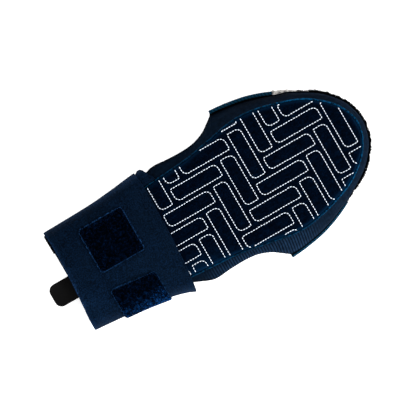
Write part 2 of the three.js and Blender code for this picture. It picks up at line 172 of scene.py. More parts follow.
def table(rows, column, places, key="x"):
    """A column of a table at many places, on a smooth curve that never swings past the rows."""
    xs = np.array([row[key] for row in rows], float)
    ys = np.array([row[column] for row in rows], float)
    if xs[0] > xs[-1]:
        xs, ys = xs[::-1], ys[::-1]
    steep = np.diff(ys) / np.diff(xs)
    first, second = steep[:-1], steep[1:]
    same = first * second > 0
    total = np.where(same, first + second, 1)
    meeting = np.where(same, 2 * first * second / total, 0)
    slopes = np.concatenate([steep[:1], meeting, steep[-1:]])
    i = np.clip(np.searchsorted(xs, places, side="right") - 1, 0, len(xs) - 2)
    span = xs[i + 1] - xs[i]
    t = np.clip((places - xs[i]) / span, 0, 1)
    ease = t * t * (3 - 2 * t)
    bend = t * (1 - t) * span
    return ys[i] + (ys[i + 1] - ys[i]) * ease + bend * ((1 - t) * slopes[i] - t * slopes[i + 1])


def smooth_step(value, start, end):
    t = np.clip((value - start) / (end - start), 0, 1)
    return t * t * (3 - 2 * t)


def bell(value, width):
    return np.exp(-((value / width) ** 2))


def circle(count):
    """Angles of points spread round a circle."""
    return np.arange(count) / count * 2 * math.pi


def spline(points, per_span=60):
    """A dense line through points."""
    points = np.asarray(points, float)
    ends = np.vstack([points[:1], points, points[-1:]])
    t = np.linspace(0, 1, per_span, endpoint=False)[:, None]
    spans = []
    for p0, p1, p2, p3 in zip(ends, ends[1:], ends[2:], ends[3:]):
        v0, v1 = (p2 - p0) / 2, (p3 - p1) / 2
        cubic = (2 * p1 - 2 * p2 + v0 + v1) * t**3
        square = (3 * p2 - 3 * p1 - 2 * v0 - v1) * t**2
        spans.append(cubic + square + v0 * t + p1)
    return np.vstack([*spans, points[-1:]])


def tip_line(rows):
    """An outline from x and half width, carried on round the tip to the other side."""
    left = [(row["x"], row["half"]) for row in rows]
    return spline(left + [(x, -half) for x, half in left[-2::-1]])


def first_half(line):
    """An outline up to the tip."""
    return line[: len(line) // 2 + 1]


def reached(line):
    """How far along a line each of its points lies."""
    steps = np.linalg.norm(np.diff(line, axis=0), axis=1)
    return np.concatenate([[0], np.cumsum(steps)])


def length_of(line):
    return reached(line)[-1]


def along(line, shares):
    """Places on a line at shares of its length."""
    way = reached(line)
    return np.stack([np.interp(shares, way / way[-1], axis) for axis in line.T], axis=-1)


def share_at_x(line, x):
    """Share of an outline's length at which its first half reaches x."""
    way = reached(line)
    return np.interp(x, first_half(line)[:, 0], first_half(way / way[-1]))


def outward(line):
    """Unit normals of a line in plan, out of the mitt."""
    way = np.gradient(line[:, :2], axis=0)
    way /= np.linalg.norm(way, axis=1)[:, None]
    return np.stack([-way[:, 1], way[:, 0]], axis=1)


def inset(line, inwards):
    return line - outward(line) * np.reshape(inwards, (-1, 1))


def grid_normals(grid):
    down = np.gradient(grid, axis=0)
    across = np.gradient(grid, axis=1)
    normal = np.cross(down, across)
    return normal / np.maximum(np.linalg.norm(normal, axis=2), 1e-9)[..., None]


def edge_drop(distance, radius):
    """How far a rounded edge has dropped at a distance inwards from it."""
    inwards = np.clip(distance, 0, radius)
    return radius - np.sqrt(radius**2 - (radius - inwards) ** 2)


def waves(x, y, length, seed):
    """A gentle uneven swell, about 1 high, whose waves are about a length long."""
    draw = np.random.default_rng(seed)
    total = 0
    for angle in draw.uniform(0, 2 * math.pi, 5):
        size = length * draw.uniform(0.7, 1.5)
        phase = draw.uniform(0, 2 * math.pi)
        total = total + np.sin(2 * math.pi * (x * math.cos(angle) + y * math.sin(angle)) / size + phase)
    return total / 3


# Meshes

def to_frame(points):
    return (np.asarray(points, float).reshape(-1, 3) - (MIDDLE_X, 0, 0)) / 1000


def add_object(name, data):
    thing = bpy.data.objects.new(name, data)
    bpy.context.scene.collection.objects.link(thing)
    return thing


def new_mesh(name, points, faces):
    data = bpy.data.meshes.new(name)
    data.from_pydata(to_frame(points).tolist(), [], faces)
    return data


def carry(data, name, values):
    """Give each point of a mesh a value that its material reads."""
    layer = data.attributes.new(name, "FLOAT", "POINT")
    layer.data.foreach_set("value", np.asarray(values, np.float32).ravel())


def make_piece(name, points, faces, cloth, uv=None, sharp=40, shade=None):
    """A mesh object that rides on the mitt. uv and shade hold a value for each point."""
    material, slot = CLOTHS[cloth]
    data = new_mesh(name, points, faces)
    if uv is not None:
        layer = data.uv_layers.new(name="cloth")
        corner = np.empty(len(data.loops), np.int32)
        data.loops.foreach_get("vertex_index", corner)
        layer.data.foreach_set("uv", np.asarray(uv, np.float32)[corner].ravel())
    if shade is not None:
        carry(data, "shade", shade)
    data.shade_smooth()
    if sharp:
        data.set_sharp_from_angle(angle=math.radians(sharp))
    data.materials.append(material)
    piece = add_object(name, data)
    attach(piece, "root")
    return piece


def quads_between(a, b, c, d):
    return np.stack([a.ravel(), b.ravel(), c.ravel(), d.ravel()], axis=1)


def grid_faces(rows, columns):
    """Quads of a closed solid between two grids, upper then lower."""
    upper = np.arange(rows * columns).reshape(rows, columns)
    lower = upper + rows * columns
    corners = [
        (upper[:-1, :-1], upper[:-1, 1:], upper[1:, 1:], upper[1:, :-1]),
        (lower[:-1, :-1], lower[1:, :-1], lower[1:, 1:], lower[:-1, 1:]),
        (upper[0, 1:], upper[0, :-1], lower[0, :-1], lower[0, 1:]),
        (upper[-1, :-1], upper[-1, 1:], lower[-1, 1:], lower[-1, :-1]),
        (upper[:-1, 0], upper[1:, 0], lower[1:, 0], lower[:-1, 0]),
        (upper[1:, -1], upper[:-1, -1], lower[:-1, -1], lower[1:, -1]),
    ]
    return np.vstack([quads_between(*four) for four in corners])


def tube_faces(rings, count):
    """Faces of a closed tube through rings of points: its quads, then its two ends."""
    index = np.arange(rings * count).reshape(rings, count)
    turned = np.roll(index, -1, axis=1)
    quads = quads_between(index[:-1], turned[:-1], turned[1:], index[1:])
    return [*quads.tolist(), index[0, ::-1].tolist(), index[-1].tolist()]


def outwards(points, quads, faces):
    """The faces of a closed mesh, turned if its quads are inside out."""
    a, b, c = (points[quads[:, i]] for i in range(3))
    volume = np.einsum("ij,ij->i", a - points.mean(0), np.cross(b - a, c - a)).sum()
    return faces if volume > 0 else [face[::-1] for face in faces]


def solid_between(name, upper, lower, cloth, uv, shade=None):
    """A closed solid between two grids of points."""
    rows, columns = upper.shape[:2]
    points = np.concatenate([upper.reshape(-1, 3), lower.reshape(-1, 3)])
    quads = grid_faces(rows, columns)
    if shade is not None:
        shade = np.broadcast_to(shade, (2, rows, columns)).ravel()
    uv = np.concatenate([uv.reshape(-1, 2)] * 2)
    return make_piece(name, points, outwards(points, quads, quads.tolist()), cloth, uv, shade=shade)


def cloth_solid(name, grid, thickness, cloth, uv, shade=None):
    """A closed cloth of a thickness, half of it on each side of a grid."""
    normal = grid_normals(grid) * thickness / 2
    return solid_between(name, grid + normal, grid - normal, cloth, uv, shade)


def tube_solid(name, rings, cloth, uv=None, sharp=None, shade=None):
    """A closed solid through rings of points."""
    points = rings.reshape(-1, 3)
    faces = tube_faces(*rings.shape[:2])
    faces = outwards(points, np.array(faces[:-2]), faces)
    return make_piece(name, points, faces, cloth, uv, sharp, shade)


def trim_rings(line, heights, section):
    """Rings of a section, measured outwards and upwards, along a line in plan."""
    section = np.broadcast_to(section, (len(line), *section.shape[-2:]))
    plan = line[:, None, :2] + outward(line)[:, None, :] * section[..., :1]
    level = np.reshape(heights, (-1, 1)) + section[..., 1]
    return np.concatenate([plan, level[..., None]], axis=2)


def scattered(name, shape, shape_faces, centres, ways, ups, cloth, shade=None):
    """One mesh of many copies of a small shape, each turned to its own way and up."""
    ways = ways / np.linalg.norm(ways, axis=1)[:, None]
    sides = np.cross(ups, ways)
    sides /= np.linalg.norm(sides, axis=1)[:, None]
    turns = np.stack([ways, sides, np.cross(ways, sides)], axis=1)
    shape = np.broadcast_to(shape, (len(centres), *shape.shape[-2:]))
    points = np.einsum("nki,nij->nkj", shape, turns) + centres[:, None, :]
    count = shape.shape[1]
    faces = [
        [index + n * count for index in face]
        for n in range(len(centres))
        for face in shape_faces
    ]
    if shade is not None:
        shade = np.repeat(shade, count)
    return make_piece(name, points.reshape(-1, 3), faces, cloth, sharp=None, shade=shade)


THREAD_STATIONS = [(-0.5, 0.35, -0.55), (-0.32, 0.9, -0.1), (0, 1, 0), (0.32, 0.9, -0.1), (0.5, 0.35, -0.55)]
THREAD_SIDES = 6
LOOP_STEPS = 6
LOOP_SIDES = 3
LOOP_SINK = 0.15  # both ends of a loop go on below the cloth by this angle


def thread_shape(length, width, height):
    """One stitch along x whose ends dip into the cloth, as points and faces."""
    points = [
        (along_x * length, math.cos(a) * width / 2 * size, (math.sin(a) * size + dip) * height / 2)
        for along_x, size, dip in THREAD_STATIONS
        for a in circle(THREAD_SIDES)
    ]
    return np.array(points), tube_faces(len(THREAD_STATIONS), THREAD_SIDES)


def loop_shape(span, height, radius):
    """One loop of yarn that stands on the cloth, as points and faces."""
    points = []
    for angle in np.linspace(-LOOP_SINK, math.pi + LOOP_SINK, LOOP_STEPS):
        out = np.array([-math.cos(angle), 0, math.sin(angle)])
        for turn in circle(LOOP_SIDES):
            ring = math.cos(turn) * out + math.sin(turn) * np.array([0, 1, 0])
            points.append(out * (span / 2, 0, height) + radius * ring)
    return np.array(points), tube_faces(LOOP_STEPS, LOOP_SIDES)


# Cloth simulation of the padding

SWELL_STEP = 2  # every other row and column of a fine grid is simulated
SWELL_FRAMES = 20
SWELL_SETTINGS = dict(
    quality=5,
    mass=0.2,
    vertex_group_mass="pins",
    tension_stiffness=15,
    compression_stiffness=15,
    shear_stiffness=5,
    bending_stiffness=0.1,
    shrink_min=-0.04,
    use_pressure=True,
    uniform_pressure_force=4,
)


def grid_object(name, grid):
    """An open cloth through a grid of points, facing up."""
    rows, columns = grid.shape[:2]
    index = np.arange(rows * columns).reshape(rows, columns)
    faces = quads_between(index[:-1, :-1], index[1:, :-1], index[1:, 1:], index[:-1, 1:])
    if grid_normals(grid)[..., 2].mean() < 0:
        faces = faces[:, ::-1]
    return add_object(name, new_mesh(name, grid, faces.tolist()))


def add_cloth(cloth, pins):
    group = cloth.vertex_groups.new(name="pins")
    group.add(np.flatnonzero(pins.ravel()).tolist(), 1.0, "REPLACE")
    modifier = cloth.modifiers.new("cloth", "CLOTH")
    for name, value in SWELL_SETTINGS.items():
        setattr(modifier.settings, name, value)
    modifier.settings.effector_weights.gravity = 0
    modifier.collision_settings.use_collision = False
    modifier.point_cache.frame_end = SWELL_FRAMES


def spread_out(values, shape, step):
    """Values of a coarse grid at every row and column of the fine grid that it was taken from."""
    rows, columns = (np.arange(size) for size in shape)
    wide = [np.interp(columns, columns[::step], line) for line in values]
    return np.array([np.interp(rows, rows[::step], line) for line in np.array(wide).T]).T


def swelling(grid, pins, most):
    """How far, in millimetres, padding lifts a cloth that is sewn down at its pins."""
    coarse = grid[::SWELL_STEP, ::SWELL_STEP]
    cloth = grid_object("swelling", coarse)
    add_cloth(cloth, pins[::SWELL_STEP, ::SWELL_STEP])
    for step in range(1, SWELL_FRAMES + 1):
        bpy.context.scene.frame_set(step)
    swollen = cloth.evaluated_get(bpy.context.evaluated_depsgraph_get()).to_mesh()
    places = np.empty(len(swollen.vertices) * 3, np.float32)
    swollen.vertices.foreach_get("co", places)
    lift = places.reshape(coarse.shape)[..., 2] * 1000 - coarse[..., 2]
    data = cloth.data
    bpy.data.objects.remove(cloth)
    bpy.data.meshes.remove(data)
    bpy.context.scene.frame_set(1)
    return spread_out(np.clip(lift, 0, most), grid.shape[:2], SWELL_STEP)


# Materials

DYE = 0.75
BLUE_GLOSS = (0.45, 0.65, 1, 1)
RIB_PITCH = 2.5


def dyed(colour, strength):
    return tuple(channel * strength * DYE for channel in colour)


class Shader:
    """A Principled material with short ways to add the textures that a cloth needs."""

    def __init__(self, name, base, roughness, specular):
        self.material = bpy.data.materials.new(name)
        self.material.use_nodes = True
        self.nodes = self.material.node_tree.nodes
        self.links = self.material.node_tree.links
        self.surface = self.nodes["Principled BSDF"]
        self.base = base
        self.normal = None
        self.paint = None
        self.set("Base Color", (*base, 1))
        self.set("Roughness", roughness)
        self.set("Specular IOR Level", specular)
        self.set("Specular Tint", BLUE_GLOSS)

    def set(self, socket, value):
        self.surface.inputs[socket].default_value = value

    def node(self, kind, inputs, **settings):
        """A node with its settings, and its inputs linked to outputs or set to values."""
        node = self.nodes.new(f"ShaderNode{kind}")
        for name, value in settings.items():
            setattr(node, name, value)
        for name, value in inputs.items():
            if isinstance(value, bpy.types.NodeSocket):
                self.links.new(value, node.inputs[name])
            else:
                node.inputs[name].default_value = value
        return node

    def place(self, kind="Object"):
        return self.node("TexCoord", {}).outputs[kind]

    def stretched(self, vector, scale=(1, 1, 1), turn=0):
        inputs = {"Vector": vector, "Scale": scale, "Rotation": (0, 0, turn)}
        return self.node("Mapping", inputs).outputs["Vector"]

    def noise(self, scale, detail=3, roughness=0.6, vector=None):
        inputs = {
            "Vector": self.place() if vector is None else vector,
            "Scale": scale,
            "Detail": detail,
            "Roughness": roughness,
        }
        return self.node("TexNoise", inputs).outputs["Fac"]

    def bands(self, vector, scale, direction, distortion=0):
        inputs = {"Vector": vector, "Scale": scale, "Distortion": distortion}
        return self.node("TexWave", inputs, bands_direction=direction).outputs["Fac"]

    def weave(self, scale):
        """Crossed threads by the cloth's own length and width."""
        cloth = self.place("UV")
        return self.plus(self.bands(cloth, scale, "X"), self.bands(cloth, scale, "Y"))

    def math(self, operation, first, second):
        return self.node("Math", {0: first, 1: second}, operation=operation).outputs[0]

    def plus(self, first, second):
        return self.math("ADD", first, second)

    def times(self, first, second):
        return self.math("MULTIPLY", first, second)

    def mixed(self, first, share, second):
        return self.plus(self.times(first, share), self.times(second, 1 - share))

    def shade(self, name="shade"):
        """A value that the mesh carries at each point."""
        return self.node("Attribute", {}, attribute_name=name).outputs["Fac"]

    def use_paint(self, paint):
        self.paint = paint
        self.links.new(paint, self.surface.inputs["Base Color"])

    def colours(self, factor, *stops):
        """Paint the base colour by a factor, through (position, colour) stops."""
        ramp = self.node("ValToRGB", {"Fac": factor})
        elements = ramp.color_ramp.elements
        while len(elements) < len(stops):
            elements.new(0.5)
        for element, (position, colour) in zip(elements, stops):
            element.position = position
            element.color = (*colour, 1)
        self.use_paint(ramp.outputs["Color"])

    def dye(self, factor, *stops):
        """Paint darker and lighter dyes of the base colour, through (position, strength) stops."""
        self.colours(factor, *[(position, dyed(self.base, strength)) for position, strength in stops])

    def brighten(self, amount):
        """Multiply the base colour by one plus an amount."""
        inputs = {0: self.paint, "Scale": self.plus(amount, 1.0)}
        self.use_paint(self.node("VectorMath", inputs, operation="SCALE").outputs["Vector"])

    def blend(self, factor, colour):
        """Blend the base colour towards another colour."""
        inputs = {"Fac": factor, "Color1": self.paint, "Color2": (*colour, 1)}
        self.use_paint(self.node("MixRGB", inputs).outputs["Color"])

    def relief(self, height, millimetres):
        """Bump of a height in millimetres; later reliefs lie on earlier ones."""
        inputs = {"Strength": 1.0, "Distance": millimetres / 1000, "Height": height}
        if self.normal is not None:
            inputs["Normal"] = self.normal
        self.normal = self.node("Bump", inputs).outputs["Normal"]
        self.links.new(self.normal, self.surface.inputs["Normal"])


def grainy(name, base, roughness, specular, grain, dark, light, bump):
    """A cloth with an uneven dye at the scale of its grain, and a bump in millimetres."""
    shader = Shader(name, base, roughness, specular)
    fuzz = shader.noise(grain)
    shader.dye(fuzz, dark, light)
    shader.brighten(shader.shade())
    shader.relief(fuzz, bump)
    return shader.material


def twisted(name, base, roughness, specular, dark, light):
    """A thread whose strands show as slanted bands."""
    shader = Shader(name, base, roughness, specular)
    twist = shader.bands(shader.stretched(shader.place(), turn=0.6), 900, "X", 1.5)
    shader.colours(twist, (0.1, dark), (0.8, light))
    shader.relief(twist, 0.06)
    return shader.material


def dyed_thread(name, base):
    return twisted(name, base, 0.7, 0.04, dyed(base, 0.6), dyed(base, 1.3))


def suede():
    shader = Shader("palm_suede", (0.00012, 0.0011, 0.0038), 0.95, 0.01)
    nap = shader.noise(900, roughness=0.8)
    brushed = shader.noise(140, vector=shader.stretched(shader.place(), (1, 2.2, 1)))
    mixed = shader.mixed(nap, 0.75, brushed)
    shader.dye(mixed, (0.36, 0.2), (0.5, 0.9), (0.66, 4.0))
    streaks = shader.times(mixed, 1.5)
    # painted sheen: blends the suede towards blue by the mesh's shade value, near the palm's edge and the
    # lit corner by the strap, broken up by its nap
    shader.blend(shader.times(shader.shade(), streaks), (0.0004, 0.0085, 0.026))
    shader.relief(nap, 0.12)
    return shader.material


def knit():
    shader = Shader("side_knit", (0.0018, 0.0049, 0.011), 0.9, 0.005)
    cloth = shader.place("UV")
    shader.dye(shader.noise(260, 4), (0.34, 0.65), (0.5, 1.0), (0.68, 1.4))
    ridges = shader.math("POWER", shader.bands(cloth, math.pi / RIB_PITCH, "X"), 3)
    ridges = shader.plus(shader.times(ridges, 3.2), -1.0)
    # painted light and shade: the shade value brightens the lit side, and the ribs, a real rib of the knit,
    # get painted light ridges and dark hollows as strongly as the ribs value, which follows the lit side
    shader.brighten(shader.shade())
    shader.brighten(shader.times(ridges, shader.shade("ribs")))
    shader.relief(shader.bands(cloth, 2.4, "Y"), 0.1)
    return shader.material


def strap_cloth():
    shader = Shader("strap_cloth", (0.001, 0.0042, 0.012), 0.88, 0.015)
    fuzz = shader.noise(950, 2, 0.8)
    mixed = shader.mixed(fuzz, 0.85, shader.noise(60))
    shader.dye(mixed, (0.415, 0.3), (0.5, 1.0), (0.605, 2.3))
    faded = shader.noise(34, 2)
    shader.blend(shader.plus(faded, -0.35), (0.0012, 0.0032, 0.0062))
    shader.brighten(shader.shade())
    shader.relief(shader.weave(3.4), 0.08)
    shader.relief(fuzz, 0.12)
    shader.set("Sheen Weight", 0.03)
    shader.set("Sheen Tint", (0.15, 0.4, 0.9, 1))
    shader.set("Sheen Roughness", 0.4)
    return shader.material


def back_cloth():
    shader = Shader("back_cloth", (0.0028, 0.0065, 0.014), 0.88, 0.02)
    shader.dye(shader.noise(300), (0.3, 0.65), (0.7, 1.45))
    shader.brighten(shader.shade())
    shader.relief(shader.weave(2.4), 0.12)
    return shader.material


def tape_cloth():
    shader = Shader("tape_cloth", (0.0026, 0.024, 0.048), 0.75, 0.03)
    ribs = shader.bands(shader.stretched(shader.place("UV"), turn=0.5), 1.1, "X", 0.4)
    shader.dye(ribs, (0.15, 0.5), (0.75, 1.4))
    shader.brighten(shader.shade())
    shader.relief(ribs, 0.15)
    return shader.material


def rubber():
    shader = Shader("tab_rubber", (0.0016, 0.0016, 0.0017), 0.65, 0.035)
    shader.set("Specular Tint", (1, 1, 1, 1))
    shader.dye(shader.noise(70, 2), (0.35, 0.8), (0.7, 1.3))
    shader.relief(shader.noise(1200), 0.03)
    return shader.material


def floor_paint():
    shader = Shader("floor_paint", (0.88, 0.88, 0.885), 0.9, 0.05)
    shader.colours(shader.noise(8), (0.3, (0.87, 0.87, 0.875)), (0.7, (0.89, 0.89, 0.895)))
    shader.set("Emission Color", (1, 1, 1, 1))
    shader.set("Emission Strength", FLOOR_GLOW)
    return shader.material


# Each cloth's material, and the name of a slot
CLOTHS = dict(
    suede=(suede(), "palm_suede"),
    white_thread=(
        twisted("white_thread", (0.86, 0.87, 0.9), 0.6, 0.3, (0.67, 0.78, 0.93), (0.87, 0.92, 0.98)),
        "palm_suede",
    ),
    navy_thread=(dyed_thread("navy_thread", (0.0012, 0.006, 0.018)), "strap_fabric"),
    blue_thread=(dyed_thread("blue_thread", (0.005, 0.024, 0.075)), "loop_pile"),
    knit=(knit(), "side_knit"),
    strap=(strap_cloth(), "strap_fabric"),
    back=(back_cloth(), "back_fabric"),
    tape=(tape_cloth(), "woven_tape"),
    rubber=(rubber(), "tab_rubber"),
)
for name, slot, *look in (
    ("piping_cloth", "piping", (0.0003, 0.02, 0.052), 0.7, 0.02, 520, (0.38, 0.1), (0.62, 1.9), 0.1),
    ("side_hem", "side_knit", (0.0011, 0.0022, 0.0045), 0.9, 0.02, 600, (0.35, 0.5), (0.65, 1.6), 0.1),
    ("pile_yarn", "loop_pile", (0.0003, 0.003, 0.0112), 0.6, 0.008, 420, (0.35, 0.5), (0.65, 1.6), 0.05),
    ("pile_ground", "loop_pile", (0.0003, 0.0014, 0.004), 0.95, 0.01, 700, (0.36, 0.3), (0.62, 2.0), 0.2),
    ("rough_black", "rough_black", (0.0007, 0.0008, 0.001), 0.9, 0.02, 500, (0.35, 0.5), (0.65, 1.5), 0.2),
    ("rough_pale", "rough_pale", (0.82, 0.8, 0.77), 0.9, 0.02, 500, (0.35, 0.7), (0.65, 1.3), 0.2),
):
    CLOTHS[name] = (grainy(name, *look), slot)


# The outlines that the hand part shares

PALM_LINE = tip_line(PALM_ROWS)
RIM_LINE = tip_line(RIM_ROWS)
RIM_LENGTH = length_of(RIM_LINE)
HEM_LINE = spline([tuple(row.values()) for row in HEM_ROWS])
WALL_START = share_at_x(PALM_LINE, HEM_ROWS[0]["x"])
WALL_CORNER = share_at_x(PALM_LINE, CORNER_X - 7)


def palm(column, x):
    return table(PALM_ROWS, column, x)


def palm_edge_height(x):
    """Height of the middle of the palm plate's edge."""
    return palm("top", x) - palm("crown", x) - palm("thick", x) / 2


def trim_width(line):
    """Width of the trim at each point of the rim."""
    tape = np.where(line[:, 1] > 0, LEFT_TAPE["width"], RIGHT_TAPE["width"])
    narrow = smooth_step(line[:, 0], *NARROWING)
    return tape + (ROUGH_EDGE["width"] - tape) * narrow


# The palm's stitched pattern: bars laid as a herringbone

BAR_WIDTH = 12.4
BAR_SPACE = 4.8
BAR_MODULES = 3
WIDE_CORNER = 5
TIGHT_CORNER = 1.3
CELLS_ALONG = range(2, 22)
CELLS_ACROSS = range(-7, 6)
PATTERN_START = 90
PATTERN_MARGIN = 0.9
PATTERN_SPACING = 0.3
SHORTEST_RUN = 10


def bar_outline(x, y, long_x, long_y):
    """A bar with one corner at x, y, as a closed line. Two opposite corners are rounder."""
    corners = [
        (x + long_x, y + long_y, 0, WIDE_CORNER),
        (x, y + long_y, 90, TIGHT_CORNER),
        (x, y, 180, WIDE_CORNER),
        (x + long_x, y, 270, TIGHT_CORNER),
    ]
    line = []
    for corner_x, corner_y, start, radius in corners:
        middle = math.radians(start + 45)
        centre_x = corner_x - radius * math.copysign(1, math.cos(middle))
        centre_y = corner_y - radius * math.copysign(1, math.sin(middle))
        for angle in np.radians(np.linspace(start, start + 90, 9)):
            line.append((centre_x + radius * math.cos(angle), centre_y + radius * math.sin(angle)))
    return np.array([*line, line[0]])


def herringbone():
    """All the bars whose box may touch the palm, as closed lines."""
    module = BAR_WIDTH + BAR_SPACE
    long_side = BAR_MODULES * module - BAR_SPACE
    period = 2 * BAR_MODULES
    bars = []
    for i in CELLS_ALONG:
        for j in CELLS_ACROSS:
            x, y = i * module, (j + 0.5) * module - BAR_WIDTH / 2
            step = (i - j) % period
            if step == 0:
                bars.append(bar_outline(x, y, long_side, BAR_WIDTH))
            if step == period - 1:
                bars.append(bar_outline(x, y, BAR_WIDTH, long_side))
    return bars


def inside_runs(line, inside):
    """The stretches of a closed line whose points are inside."""
    if inside.all():
        return [line]
    start = int(np.argmin(inside))
    turned = np.roll(line[:-1], -start, axis=0)
    flags = np.roll(inside[:-1], -start)
    changes = np.flatnonzero(np.diff(flags)) + 1
    runs = [run for run, flag in zip(np.split(turned, changes), np.split(flags, changes)) if flag[0]]
    return [run for run in runs if length_of(run) > SHORTEST_RUN]


def palm_runs():
    """The pattern's lines in plan, cut off at the palm's edge and under the strap."""
    edge = first_half(inset(PALM_LINE, 2 * PIPING_RADIUS + PATTERN_MARGIN))
    runs = []
    for bar in herringbone():
        fine = along(bar, np.linspace(0, 1, int(length_of(bar) / PATTERN_SPACING)))
        half = np.interp(fine[:, 0], edge[:, 0], edge[:, 1], right=-1)
        inside = (np.abs(fine[:, 1]) < half) & (fine[:, 0] > PATTERN_START)
        if inside.any():
            runs += inside_runs(fine, inside)
    return runs


def distance_to_runs(x, y, runs, block=2000):
    """Distance of every place to the nearest line of the pattern, worked out in blocks."""
    points = np.concatenate([run[::2] for run in runs])
    flat = np.stack([x.ravel(), y.ravel()], axis=1)
    nearest = np.empty(len(flat))
    for first in range(0, len(flat), block):
        away = ((flat[first:first + block, None, :] - points[None]) ** 2).sum(2)
        nearest[first:first + block] = np.sqrt(away.min(1))
    return nearest.reshape(x.shape)


# The palm

PUFF = 0.8  # how far the padding stands up between the lines of stitches
PALM_ROUND = 3.0
PALM_SPACING = 1.05
PALM_COLUMNS = 108
PALM_SHOWS = (88, 100)  # x from which the palm shows, past the strap
SEWN = dict(line=1.1, edge=1.6, x=84)  # how near a line or edge, and up to which x
TIP_HALF = 0.8  # half width of a plate where it ends at the tip
EDGE_SHARES = np.array([0, 0.04, 0.15, 0.35, 0.65])
STITCH_PITCH = 2.6
STITCH_SIZE = (1.95, 0.62, 0.7)
STITCH_LIFT = 0.28
PIPING_START = 74
PIPING_SPACING = 0.9
PIPING_SIDES = 10


def plate_grid(stations, radius, columns):
    """x and y of a plate's points, its half widths, and the points' distances from its edge."""
    x_line, half = stations[:, 0], stations[:, 1:]
    rounded = np.minimum(radius, half * 0.5)
    left = half - EDGE_SHARES * rounded
    middle = (half - rounded) * np.linspace(1, -1, columns)
    y = np.concatenate([left, middle, -left[:, ::-1]], axis=1)
    x = np.broadcast_to(x_line[:, None], y.shape)
    return x, y, half, np.minimum(half - np.abs(y), x_line[-1] - x)


def make_palm_panel(runs):
    line = first_half(inset(PALM_LINE, 2 * PIPING_RADIUS + GAP))
    stations = along(line, np.linspace(0, 1, int(length_of(line) / PALM_SPACING) + 1))
    stations[-1, 1] = TIP_HALF
    x, y, half, distance = plate_grid(stations, PALM_ROUND, PALM_COLUMNS)
    share = np.clip(np.abs(y) / half, 0, 1)
    middle = palm("top", x) - palm("crown", x) * share**2 - palm("thick", x) / 2
    reach = palm("thick", x) / 2 - edge_drop(distance, PALM_ROUND) * 0.8
    away = distance_to_runs(x, y, runs)
    sewn = (away < SEWN["line"]) | (distance < SEWN["edge"]) | (x < SEWN["x"])
    puff = swelling(np.stack([x, y, middle + reach], axis=2), sewn, 1.4 * PUFF)
    past_strap = smooth_step(x, *PALM_SHOWS)
    shown = past_strap * smooth_step(distance, 0, 4)
    soft = 0.25 * waves(x, y, 46, 3) * shown
    roll = -0.9 * (1 - smooth_step(distance, 1, 8)) * past_strap
    quilt = (puff - 0.35 * bell(away, 0.7) - 0.3) * shown
    upper = np.stack([x, y, middle + reach + quilt + soft + roll], axis=2)
    lower = np.stack([x, y, middle - reach], axis=2)
    # painted sheen: the suede's edge, and the corner by the strap on the lit side where it slopes to the
    # light, get a shade value that paints them bluer
    sheen_corner = bell(x - 104, 26) * bell(y + 42, 9)
    shade = np.clip(0.8 * bell(distance, 1.9) + 0.45 * sheen_corner, 0, 1)
    uv = np.stack([x, y], axis=2) / 10
    piece = solid_between("palm_panel_quilted", upper, lower, "suede", uv, shade)
    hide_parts("palm_panel")
    return piece


def dropped(piece, plan):
    """Places in plan set down on a piece, in millimetres, and the piece's normals there."""
    data = piece.data
    points = np.empty(len(data.vertices) * 3, np.float32)
    data.vertices.foreach_get("co", points)
    polygons = [polygon.vertices[:] for polygon in data.polygons]
    tree = BVHTree.FromPolygons(points.reshape(-1, 3).tolist(), polygons)
    spots, normals = [], []
    for x, y in plan:
        above = Vector(((x - MIDDLE_X) / 1000, y / 1000, 0.2))
        spot, normal, _, _ = tree.ray_cast(above, Vector((0, 0, -1)))
        spots.append((x, y, spot.z * 1000))
        normals.append(normal)
    return np.array(spots), np.array(normals)


def stitch_places(line, count, reach):
    """Middles of stitches along a line, and the ways that they run."""
    shares = (np.arange(count) + 0.5) / count
    ahead = along(line, np.minimum(shares + reach / count, 1))
    return along(line, shares), ahead - along(line, shares - reach / count)


def make_palm_stitches(panel, runs):
    places = [stitch_places(run, max(1, round(length_of(run) / STITCH_PITCH)), 0.2) for run in runs]
    middles, ways = (np.concatenate(parts) for parts in zip(*places))
    spots, normals = dropped(panel, middles)
    ways = np.column_stack([ways, np.zeros(len(ways))])
    ways += RNG.normal(0, 0.02, ways.shape)
    centres = spots + normals * STITCH_LIFT
    scattered("palm_stitches", *thread_shape(*STITCH_SIZE), centres, ways, normals, "white_thread")


def make_palm_piping():
    start = share_at_x(PALM_LINE, PIPING_START)
    steps = int(length_of(PALM_LINE) * (1 - 2 * start) / PIPING_SPACING)
    line = along(PALM_LINE, np.linspace(start, 1 - start, steps))
    angles = circle(PIPING_SIDES)
    twist = 1 + 0.05 * np.sin(np.arange(steps)[:, None] * 1.9 + angles * 2)
    section = np.stack([np.cos(angles) * twist - 1, np.sin(angles) * twist], axis=2) * PIPING_RADIUS
    rings = trim_rings(line, palm_edge_height(line[:, 0]), section)
    # painted light: the piping is painted dim before x 205 and lit from x 245 round the fingertips
    shade = np.repeat(0.7 * smooth_step(line[:, 0], 205, 245) - 0.35, len(angles))
    piece = tube_solid("palm_piping_cord", rings, "piping_cloth", shade=shade)
    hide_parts("palm_piping")


# The side wall

HEM_STEPS = 230
RIM_STEPS = 1050
WALL_STEPS = 16
WALL_BULGE = 0.09  # of the wall's height
WALL_SLACK = 0.5
HEM_RADIUS = 1.05
RIB_DEPTH = 0.4
RIB_CONTRAST = 0.85
SIDE_LIGHT = 0.4
FOOT_LIGHT = 0.6


def seam_room(seam):
    """Room between the side wall's foot and the trim: open on the left, less than none on the right."""
    x = seam[:, 0]
    tip = smooth_step(x, 246, 262)
    left = 1.1 + 1.6 * (1 - smooth_step(x, 228, 262))
    right = 1.2 * tip - 0.1 - 0.4 * smooth_step(x, 222, 236) * (1 - tip)
    right = right + 0.9 * (1 - smooth_step(x, CORNER_X, 199))
    return np.where(seam[:, 1] > 0, left, right)


